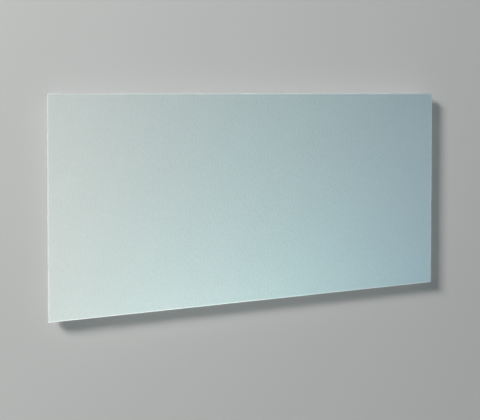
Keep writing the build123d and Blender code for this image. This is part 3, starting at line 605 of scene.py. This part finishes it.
def carve(obj, cutter):
    modify(obj, "BOOLEAN", operation="DIFFERENCE", solver="EXACT", object=cutter)
    bpy.data.objects.remove(cutter)


def breakEdges(obj, width, degrees):
    modify(obj, "BEVEL", width=width, segments=2, limit_method="ANGLE", angle_limit=math.radians(degrees))


def softenShading(obj, degrees):
    selectOnly(obj)
    bpy.ops.object.shade_smooth_by_angle(angle=math.radians(degrees))
    modify(obj, "WEIGHTED_NORMAL", keep_sharp=True, weight=100)


def fit(obj, node, degrees=35):
    # the piece stands for this node, with its finish, and moves with it
    softenShading(obj, degrees)
    obj.data.materials.clear()
    obj.data.materials.append(materials[slotOf[node]])
    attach(obj, frame["nodes"][node]["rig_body"])
    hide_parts(node)


def solidsOf(node):
    # lowest and highest corners of each separate solid of a node
    shape = bmesh.new()
    shape.from_mesh(frame["nodes"][node].data)
    bmesh.ops.remove_doubles(shape, verts=shape.verts, dist=weld)
    shape.verts.ensure_lookup_table()
    seen, corners = set(), []
    for first in shape.verts:
        if first.index in seen:
            continue
        seen.add(first.index)
        island, waiting = [], [first]
        while waiting:
            vert = waiting.pop()
            island.append(vert.co.copy())
            for edge in vert.link_edges:
                other = edge.other_vert(vert)
                if other.index not in seen:
                    seen.add(other.index)
                    waiting.append(other)
        ends = [Vector(pick(point[axis] for point in island) for axis in range(3)) for pick in (min, max)]
        corners.append(ends)
    shape.free()
    return sorted(corners, key=lambda pair: (round(pair[0].x, 4), round(pair[0].z, 4)))


def dressed(name, node, edge):
    # a copy of a node's own shape, with its edges broken
    obj = bpy.data.objects.new(name, frame["nodes"][node].data.copy())
    bpy.context.scene.collection.objects.link(obj)
    selectOnly(obj)
    bpy.ops.mesh.customdata_custom_splitnormals_clear()
    with editing(obj):
        bpy.ops.mesh.select_all(action="SELECT")
        bpy.ops.mesh.remove_doubles(threshold=weld)
        bpy.ops.mesh.dissolve_limited(angle_limit=math.radians(1))
    breakEdges(obj, edge, degrees=35)
    return obj


# Front panel: the folded tray, with round folds and mitred rims at the back

tray = {"fold": 0.002, "foldSteps": 5, "gauge": 0.0012, "rim": 0.0152, "rimStart": 0.0024, "mitreGap": 0.0008}


def makeFrontPanel():
    low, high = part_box("front_panel")
    panel = block("frontPanelTray", low, high)

    def inMitre(middle, normal):
        fromSide = high.x - abs(middle.x)
        fromEnd = min(high.z - middle.z, middle.z - low.z)
        return facesBack(normal) and abs(fromSide - fromEnd) < tray["mitreGap"] / 2

    with editing(panel):
        chooseFaces(panel, lambda middle, normal: facesBack(normal))
        bpy.ops.mesh.inset(thickness=tray["rimStart"])
        bpy.ops.mesh.inset(thickness=tray["rim"] - tray["rimStart"])
        bpy.ops.mesh.delete(type="FACE")
        chooseEdges(
            panel,
            lambda middle, along: runsAslant(along)
            and abs(middle.y - high.y) < onPlane
            and high.x - abs(middle.x) > tray["rimStart"],
        )
        bpy.ops.mesh.bevel(offset=tray["mitreGap"] / 2, segments=1)
        chooseFaces(panel, inMitre)
        bpy.ops.mesh.delete(type="FACE")
        chooseEdges(
            panel,
            lambda middle, along: (
                abs(middle.x) > high.x - onPlane or middle.z > high.z - onPlane or middle.z < low.z + onPlane
            ),
        )
        bpy.ops.mesh.bevel(offset=tray["fold"], segments=tray["foldSteps"], profile=0.5)
    modify(panel, "SOLIDIFY", thickness=tray["gauge"], offset=-1, use_even_offset=True)
    with editing(panel):
        bpy.ops.mesh.select_all(action="SELECT")
        bpy.ops.mesh.remove_doubles(threshold=tray["mitreGap"] / 10)
    fit(panel, "front_panel", degrees=30)


makeFrontPanel()
print("front panel made")


# Back cover: a sheet with four pressed beads

coverSheet = {
    "gauge": 0.0008,
    "corner": 0.006,
    "cornerSteps": 8,
    "edge": 0.0002,
    "beadRows": (-0.27, -0.18, -0.09, 0.06),
    "beadHalfLength": 0.54,
    "beadWidth": 0.018,
    "beadRound": 0.98,  # of the half width, at each end
    "beadSteps": 10,
    "flank": 0.0034,
    "flankSteps": 7,
    "start": 0.00002,  # the bead's first rise, before its flank is drawn
}


def makeBackCover():
    low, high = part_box("back_cover")
    face = low.y + coverSheet["gauge"]
    sheet = block("backCoverSheet", low, (high.x, face, high.z))
    with editing(sheet):
        chooseEdges(sheet, lambda middle, along: runsInY(along))
        bpy.ops.mesh.bevel(offset=coverSheet["corner"], segments=coverSheet["cornerSteps"])
        chooseEdges(sheet, lambda middle, along: not runsInY(along))
        bpy.ops.mesh.bevel(offset=coverSheet["edge"], segments=2)
    half = coverSheet["beadWidth"] / 2
    for row in coverSheet["beadRows"]:
        bead = block(
            "bead",
            (-coverSheet["beadHalfLength"], face - coverSheet["gauge"] / 2, row - half),
            (coverSheet["beadHalfLength"], face + coverSheet["start"], row + half),
        )
        with editing(bead):
            chooseEdges(bead, lambda middle, along: runsInY(along))
            bpy.ops.mesh.bevel(offset=half * coverSheet["beadRound"], segments=coverSheet["beadSteps"])
        fused("backCoverSheet", sheet, bead)
    rise = high.y - face - coverSheet["start"]
    steps = coverSheet["flankSteps"]
    ease = [t * t * (3 - 2 * t) for t in (step / steps for step in range(steps + 1))]
    with editing(sheet):
        chooseFaces(
            sheet,
            lambda middle, normal: facesBack(normal) and middle.y > face + coverSheet["start"] / 2,
        )
        for before, after in zip(ease, ease[1:]):
            bpy.ops.mesh.inset(thickness=coverSheet["flank"] / steps, depth=(after - before) * rise)
    fit(sheet, "back_cover", degrees=40)


makeBackCover()
print("back cover made")


# Screws: pan heads with a cross recess, each turned as its driver left it

screwForm = {
    "sides": 28, "round": 0.7, "roundSteps": 4, "shankSides": 16, "point": 0.6, "bladeTaper": (0.35, 1, 0.8),
}
screwSets = {
    "coverScrews": {
        "node": "cover_screws", "headRadius": 0.0035, "headHeight": 0.0022,
        "shank": 0.00175, "length": 0.005,
        "recess": 0.0042, "recessWidth": 0.0009, "recessDepth": 0.0014, "turn": 37,
    },
    "boxScrews": {
        "node": "box_screws", "headRadius": 0.0035, "headHeight": 0.0022,
        "shank": 0.00175, "length": 0.006,
        "recess": 0.0042, "recessWidth": 0.0009, "recessDepth": 0.0014, "turn": 23,
    },
    "lidScrews": {
        "node": "lid_screws", "headRadius": 0.003, "headHeight": 0.0013,
        "shank": 0.0015, "length": 0.010,
        "recess": 0.0036, "recessWidth": 0.0008, "recessDepth": 0.0009, "turn": 51,
    },
}


def makeScrew(look):
    # stands on the origin, its head towards +Y
    top = look["headHeight"]
    head = disc("screw", 0, 0, 0, top, look["headRadius"], screwForm["sides"])
    with editing(head):
        chooseEdges(head, lambda middle, along: middle.y > top - onPlane and not runsInY(along))
        bpy.ops.mesh.bevel(offset=top * screwForm["round"], segments=screwForm["roundSteps"])
    half = look["recess"] / 2
    width = look["recessWidth"] / 2
    for across in (0, 90):
        blade = block("blade", (-half, top - look["recessDepth"], -width), (half, top + beyond, width))
        with editing(blade):
            chooseFaces(blade, lambda middle, normal: facesBack(-normal))
            bpy.ops.transform.resize(value=screwForm["bladeTaper"])
        blade.rotation_euler.y = math.radians(across)
        carve(head, settle(blade))
    shank = disc("shank", 0, 0, -look["length"], overlap, look["shank"], screwForm["shankSides"])
    with editing(shank):
        chooseEdges(shank, lambda middle, along: middle.y < onPlane - look["length"])
        bpy.ops.mesh.bevel(offset=look["shank"] * screwForm["point"], segments=1)
    return fused("screw", head, shank)


def makeScrews(name, look):
    pattern = makeScrew(look)
    copies = []
    for index, (low, high) in enumerate(solidsOf(look["node"])):
        turn = (0, math.radians(look["turn"] * index), 0)
        place = ((low.x + high.x) / 2, high.y - look["headHeight"], (low.z + high.z) / 2)
        copies.append(copyOf(pattern, rotation_euler=turn, location=place))
    bpy.data.objects.remove(pattern)
    fit(joined(name, copies), look["node"])


for name, look in screwSets.items():
    makeScrews(name, look)
print("screws made")


# Blind rivets: a low dome round the snapped mandrel

rivet = {
    "headRadius": 0.004, "headHeight": 0.0013, "sides": 28, "round": 0.85, "roundSteps": 4,
    "mandrel": 0.0011, "hollow": 0.0007, "hollowWall": 0.0001, "pinEdge": 0.0003, "pinRise": 0.0002,
    "shank": 0.002, "shankSides": 16,
    "tailRadius": 0.003, "tailLength": 0.0032, "tailSides": 20, "tailRound": 0.3, "tailSteps": 3,
}


def makeRivet(length):
    # stands on the origin: the head towards +Y, the set tail at the far end of the length
    top = rivet["headHeight"]
    tailEnd = top - length
    tailStart = tailEnd + rivet["tailLength"]
    dome = top * rivet["round"]
    head = disc("head", 0, 0, 0, top, rivet["headRadius"], rivet["sides"])
    with editing(head):
        chooseEdges(head, lambda middle, along: middle.y > top - onPlane and not runsInY(along))
        bpy.ops.mesh.bevel(offset=dome, segments=rivet["roundSteps"])
        chooseFaces(head, lambda middle, normal: facesBack(normal, least=0.99) and middle.y > top - onPlane)
        bpy.ops.mesh.inset(thickness=rivet["headRadius"] - dome - rivet["mandrel"])
        bpy.ops.mesh.inset(thickness=rivet["hollowWall"], depth=-rivet["hollow"])
        bpy.ops.mesh.inset(thickness=rivet["pinEdge"], depth=rivet["pinRise"])
    shank = disc("shank", 0, 0, tailStart - overlap, overlap, rivet["shank"], rivet["shankSides"])
    tail = disc("tail", 0, 0, tailEnd, tailStart, rivet["tailRadius"], rivet["tailSides"])
    with editing(tail):
        chooseEdges(tail, lambda middle, along: not runsInY(along))
        bpy.ops.mesh.bevel(offset=rivet["tailLength"] * rivet["tailRound"], segments=rivet["tailSteps"])
    return fused("rivet", head, shank, tail)


def makeRivets():
    patterns, copies = {}, []
    for low, high in solidsOf("blind_rivets"):
        length = round(high.y - low.y, 5)
        if length not in patterns:
            patterns[length] = makeRivet(length)
        place = ((low.x + high.x) / 2, high.y - rivet["headHeight"], (low.z + high.z) / 2)
        copies.append(copyOf(patterns[length], location=place))
    for pattern in patterns.values():
        bpy.data.objects.remove(pattern)
    fit(joined("blindRivets", copies), "blind_rivets")


makeRivets()
print("rivets made")


# Wall buffers: ribbed rubber feet, pulled into the stand-offs by a barb

buffer = {
    "head": 0.004, "radius": 0.010, "sides": 48, "round": 0.0009, "roundSteps": 3,
    "ribWidth": 0.0012, "ribDepth": 0.0005, "ribSlope": 0.0002, "ribSteps": (-1, 1, -1, 1, -1),
    "stem": 0.004, "stemSides": 32, "neck": 0.0015,
    "barb": 0.0052, "barbTip": 0.0036, "barbRound": 0.0004, "barbSteps": 2,
}


def makeBuffer(name, node):
    low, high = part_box(node)
    x, z = (low.x + high.x) / 2, (low.z + high.z) / 2
    seat = high.y - buffer["head"]
    foot = disc(name, x, z, seat, high.y, buffer["radius"], buffer["sides"])
    with editing(foot):
        chooseEdges(foot, lambda middle, along: not runsInY(along))
        bpy.ops.mesh.bevel(offset=buffer["round"], segments=buffer["roundSteps"])
        tread = high.y - onPlane
        chooseFaces(foot, lambda middle, normal: facesBack(normal, least=0.99) and middle.y > tread)
        bpy.ops.mesh.inset(thickness=buffer["ribWidth"])
        for step in buffer["ribSteps"]:
            bpy.ops.mesh.inset(thickness=buffer["ribSlope"], depth=buffer["ribDepth"] * step)
            bpy.ops.mesh.inset(thickness=buffer["ribWidth"])
    barbLength = seat - low.y - buffer["neck"]
    barbEnd = low.y + barbLength
    stem = disc("stem", x, z, barbEnd - overlap, seat + overlap, buffer["stem"], buffer["stemSides"])
    bpy.ops.mesh.primitive_cone_add(
        vertices=buffer["stemSides"],
        radius1=buffer["barb"],
        radius2=buffer["barbTip"],
        depth=barbLength,
        location=(x, low.y + barbLength / 2, z),
        rotation=(math.radians(90), 0, 0),
    )
    barb = settle(bpy.context.object)
    with editing(barb):
        chooseEdges(barb, lambda middle, along: not runsInY(along))
        bpy.ops.mesh.bevel(offset=buffer["barbRound"], segments=buffer["barbSteps"])
    fit(fused(name, foot, stem, barb), node)


for side in ("Left", "Right"):
    makeBuffer("wallBuffer" + side, "wall_buffer_" + side.lower())
print("buffers made")


# Junction box lid: a moulded plate with a sunk field and a counterbore for each screw

lid = {
    "corner": 0.006, "cornerSteps": 8, "edge": 0.0012, "edgeSteps": 3, "broken": 0.00015,
    "field": 0.009, "fieldDepth": 0.0005, "fieldCorner": 0.002, "fieldSteps": 4,
    "sink": 0.0033, "sinkDepth": 0.0014, "sinkSides": 36, "hole": 0.00175, "holeSides": 24,
}


def makeLid():
    low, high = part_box("junction_box_lid")
    plate = block("junctionBoxLid", low, high)
    with editing(plate):
        chooseEdges(plate, lambda middle, along: runsInY(along))
        bpy.ops.mesh.bevel(offset=lid["corner"], segments=lid["cornerSteps"])
        chooseEdges(plate, lambda middle, along: middle.y > high.y - onPlane)
        bpy.ops.mesh.bevel(offset=lid["edge"], segments=lid["edgeSteps"], profile=0.4)
    inset = lid["field"]
    clear = high.y + beyond
    field = block(
        "field",
        (low.x + inset, high.y - lid["fieldDepth"], low.z + inset),
        (high.x - inset, clear, high.z - inset),
    )
    with editing(field):
        chooseEdges(field, lambda middle, along: runsInY(along))
        bpy.ops.mesh.bevel(offset=lid["fieldCorner"], segments=lid["fieldSteps"])
    carve(plate, field)
    breakEdges(plate, lid["broken"], degrees=50)
    for first, last in solidsOf("lid_screws"):
        x, z = (first.x + last.x) / 2, (first.z + last.z) / 2
        carve(plate, disc("sink", x, z, high.y - lid["sinkDepth"], clear, lid["sink"], lid["sinkSides"]))
        carve(plate, disc("hole", x, z, low.y - beyond, clear, lid["hole"], lid["holeSides"]))
    fit(plate, "junction_box_lid")


makeLid()
print("lid made")


# Folded brackets, box and gland: the nodes' own shapes with broken edges

brokenEdges = {
    "wall_rail": 0.00025,
    "hanger_bracket_left": 0.00025,
    "hanger_bracket_right": 0.00025,
    "lower_standoff_left": 0.0002,
    "lower_standoff_right": 0.0002,
    "junction_box_base": 0.0003,
    "gland_body": 0.00025,
    "gland_nut": 0.0003,
}
for node, edge in brokenEdges.items():
    first, *others = node.split("_")
    name = first + "".join(word.capitalize() for word in others)
    fit(dressed(name, node, edge), node)
print("brackets, box and gland dressed")


# Room: a pale floor and a wall. Each hides nothing from a camera behind it.

room = {
    "floor": -1.25, "wall": 0.0006, "halfWidth": 6.0, "height": 5.0,
    "speck": 25, "mottle": 0.985, "roughness": 0.9,
    "floorColour": (0.45, 0.449, 0.445, 1), "floorGlow": 1.15,
    "wallColour": (0.4, 0.398, 0.39, 1), "wallGlow": 0.22,
}


def stagePaint(name, colour, glow):
    # a finish that glows, for the rays that look at it
    paint = Paint(name)
    tone = paint.blend(paint.noise(perMetre(room["speck"])), shade(colour, room["mottle"]), colour)
    plain = {"Base Color": tone, "Roughness": room["roughness"]}
    glowing = {**plain, "Emission Color": colour, "Emission Strength": glow}
    return paint, plain, paint.node("ShaderNodeBsdfPrincipled", inputs=glowing)


def rayOf(paint, *kinds):
    return sum(paint.node("ShaderNodeLightPath", output=kind) for kind in kinds)


def mixInto(paint, factor, first, second):
    return paint.node("ShaderNodeMixShader", inputs={0: factor, 1: first, 2: second})


def painted(obj, name, paint, shown):
    obj.name = name
    paint.feed(paint.output.inputs[0], shown)
    obj.data.materials.append(paint.material)
    return obj


def makeFloor():
    bpy.ops.mesh.primitive_plane_add(size=2 * room["halfWidth"], location=(0, 0, room["floor"]))
    floor = settle(bpy.context.object)
    paint, plain, lit = stagePaint("floorPaint", room["floorColour"], room["floorGlow"])
    unlit = paint.node("ShaderNodeBsdfPrincipled", inputs=plain)
    looked = rayOf(paint, "Is Camera Ray", "Is Glossy Ray", "Is Transmission Ray")
    solid = mixInto(paint, looked, unlit, lit)
    clear = paint.node("ShaderNodeBsdfTransparent")
    under = rayOf(paint, "Is Camera Ray") * paint.node("ShaderNodeNewGeometry", output="Backfacing")
    return painted(floor, "floor", paint, mixInto(paint, under, solid, clear))


def makeWall():
    bpy.ops.mesh.primitive_plane_add(size=1, rotation=(math.radians(90), 0, 0))
    wall = bpy.context.object
    wall.scale = (2 * room["halfWidth"], room["height"], 1)
    wall.location = (0, room["wall"], room["floor"] + room["height"] / 2)
    settle(wall)
    paint, _, lit = stagePaint("wallPaint", room["wallColour"], room["wallGlow"])
    clear = paint.node("ShaderNodeBsdfTransparent")
    pale = paint.node("ShaderNodeEmission", inputs={0: ambient["background"]})
    mirrored = mixInto(paint, rayOf(paint, "Is Glossy Ray", "Is Transmission Ray"), clear, pale)
    facing = 1 - paint.node("ShaderNodeNewGeometry", output="Backfacing")
    return painted(wall, "wall", paint, mixInto(paint, rayOf(paint, "Is Camera Ray") * facing, mirrored, lit))


def shareLight(sides):
    # the wall keeps one clean shadow, and no lamp draws streaks on the floor
    for name, light in lampOf.items():
        linked = bpy.data.collections.new(name + "Sides")
        only = lamps[name].get("only")
        for side in (only,) if only else lamps[name].get("misses", tuple(sides)):
            linked.objects.link(sides[side])
        for link in linked.collection_objects:
            link.light_linking.link_state = "INCLUDE" if only else "EXCLUDE"
        light.light_linking.receiver_collection = linked


floor = makeFloor()
wall = makeWall()
shareLight({"floor": floor, "wall": wall})


def makeSky():
    # dim and cool as light, pale where a camera or a mirror sees it
    world = bpy.data.worlds.new("studio")
    bpy.context.scene.world = world
    world.use_nodes = True
    sky = world.node_tree
    sky.nodes.clear()
    light = sky.nodes.new("ShaderNodeBackground")
    light.inputs[0].default_value = ambient["colour"]
    light.inputs[1].default_value = ambient["strength"]
    pale = sky.nodes.new("ShaderNodeBackground")
    pale.inputs[0].default_value = ambient["background"]
    path = sky.nodes.new("ShaderNodeLightPath")
    seen = path.outputs["Is Camera Ray"]
    for kind in ("Is Glossy Ray", "Is Transmission Ray"):
        either = sky.nodes.new("ShaderNodeMath")
        sky.links.new(seen, either.inputs[0])
        sky.links.new(path.outputs[kind], either.inputs[1])
        seen = either.outputs[0]
    choose = sky.nodes.new("ShaderNodeMixShader")
    for socket, source in enumerate((seen, light.outputs[0], pale.outputs[0])):
        sky.links.new(source, choose.inputs[socket])
    end = sky.nodes.new("ShaderNodeOutputWorld")
    sky.links.new(choose.outputs[0], end.inputs[0])


makeSky()
print("room and light made")
